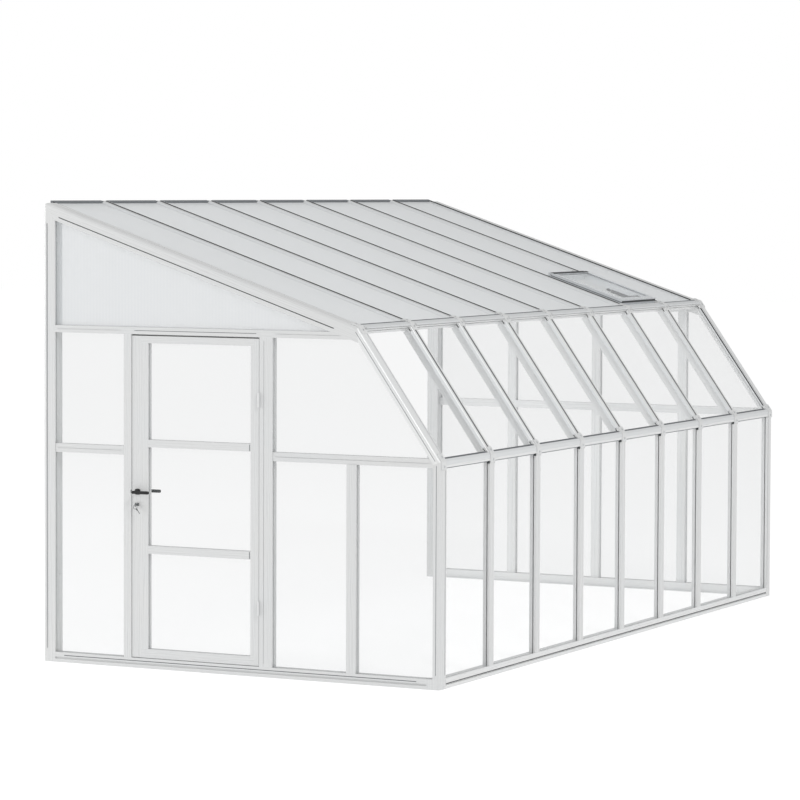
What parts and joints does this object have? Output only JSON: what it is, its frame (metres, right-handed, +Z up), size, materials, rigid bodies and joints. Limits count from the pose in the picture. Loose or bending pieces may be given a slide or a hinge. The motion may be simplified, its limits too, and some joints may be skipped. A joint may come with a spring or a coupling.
{
  "type": "sunroom",
  "caption": "White lean-to sunroom with steep eave glazing, twin-wall roof, gable door with lever and key lock, and a hinged roof vent",
  "frame": {"origin": "on the ground at the middle of the base's footprint", "axes": "+X along the house wall away from the door gable, +Y towards the house wall, +Z up"},
  "size_m": [5.1, 2.536, 2.64],
  "materials": {
    "frame_white": "extruded white PVC, satin",
    "clip_white": "moulded white nylon, smooth",
    "pane_clear": "clear acrylic sheet, polished",
    "twin_wall_roof": "opal twin-wall polycarbonate, satin",
    "twin_wall_gable": "clear twin-wall polycarbonate, satin",
    "seal_black": "black EPDM, dull",
    "vent_white": "extruded white PVC, satin",
    "hinge_white": "white powder coat, satin",
    "lever_black": "black powder coat, satin",
    "lock_steel": "zinc plated steel, dull",
    "key_nickel": "nickel plated brass, bright",
    "stay_grey": "dark grey moulded nylon, dull"
  },
  "bodies": {
    "frame": {"base_front": "frame_white", "base_door_end": "frame_white", "base_far_end": "frame_white", "corner_feet": "frame_white", "house_posts": "frame_white", "corner_posts": "frame_white", "steep_rafters": "frame_white", "roof_rafters": "frame_white", "wall_mullions": "frame_white", "eave_rail": "frame_white", "knee_rail": "frame_white", "wall_plate": "frame_white", "eave_bars": "frame_white", "eave_bar_caps": "frame_white", "roof_bars": "frame_white", "roof_bar_caps": "frame_white", "eave_gaskets": "seal_black", "roof_gaskets": "seal_black", "eave_connectors": "clip_white", "knee_connectors": "clip_white", "wall_seal": "seal_black", "wall_panes": "pane_clear", "eave_panes": "pane_clear", "roof_panels": "twin_wall_roof", "header_door_end": "frame_white", "header_far_end": "frame_white", "latch_jamb": "frame_white", "hinge_jamb": "frame_white", "mullion_door_end": "frame_white", "midrails_door_end": "frame_white", "mullions_far_end": "frame_white", "midrails_far_end": "frame_white", "gable_panels": "twin_wall_gable", "panes_door_end": "pane_clear", "panes_far_end": "pane_clear", "door_stops": "frame_white", "strike_plate": "lock_steel", "jamb_hinge_leaves": "hinge_white", "vent_kerb": "vent_white"},
    "door": {"door_lock_stile": "frame_white", "door_hinge_stile": "frame_white", "door_rails": "frame_white", "door_glazing_bars": "frame_white", "door_panes": "pane_clear", "door_hinge_leaves": "hinge_white", "lock_case": "lock_steel", "lock_cylinder": "key_nickel", "handle_roses": "lever_black"},
    "handle": {"lever_outer": "lever_black", "lever_inner": "lever_black", "lever_spindle": "lock_steel"},
    "latch": {"latch_bolt": "lock_steel"},
    "deadbolt": {"dead_bolt": "lock_steel"},
    "key": {"key_plug": "key_nickel", "keys": "key_nickel"},
    "vent": {"vent_frame": "vent_white", "vent_panel": "twin_wall_roof", "stay_bracket": "stay_grey"},
    "stay": {"stay_arm": "stay_grey"}
  },
  "joints": [
    {"name": "door_hinge", "type": "hinge", "parent": "frame", "child": "door", "pos_m": [-2.531, -0.146, 0.963], "axis": [0, 0, 1], "range_deg": [0, 105]},
    {"name": "lever_turn", "type": "hinge", "parent": "door", "child": "handle", "pos_m": [-2.502, 0.638, 1], "axis": [1, 0, 0], "range_deg": [0, 40], "stiffness_Nm_per_rad": 1, "springref_deg": -17.19},
    {"name": "latch_slide", "type": "slide", "parent": "door", "child": "latch", "axis": [0, -1, 0], "range_m": [0, 0.0075]},
    {"name": "key_turn", "type": "hinge", "parent": "door", "child": "key", "pos_m": [-2.502, 0.638, 0.928], "axis": [1, 0, 0], "range_deg": [0, 90]},
    {"name": "bolt_slide", "type": "slide", "parent": "door", "child": "deadbolt", "axis": [0, 1, 0], "range_m": [0, 0.014]},
    {"name": "vent_hinge", "type": "hinge", "parent": "frame", "child": "vent", "pos_m": [1.55313, -0.19242, 2.16607], "axis": [-1, 0, 0], "range_deg": [0, 45]},
    {"name": "stay_pivot", "type": "hinge", "parent": "vent", "child": "stay", "pos_m": [1.59313, -0.66882, 1.98576], "axis": [-1, 0, 0], "range_deg": [0, 70]}
  ],
  "couplings": [
    {"joint": "latch_slide", "follows": "lever_turn", "m_per_rad": 0.010742},
    {"joint": "bolt_slide", "follows": "key_turn", "m_per_rad": 0.0089126}
  ]
}
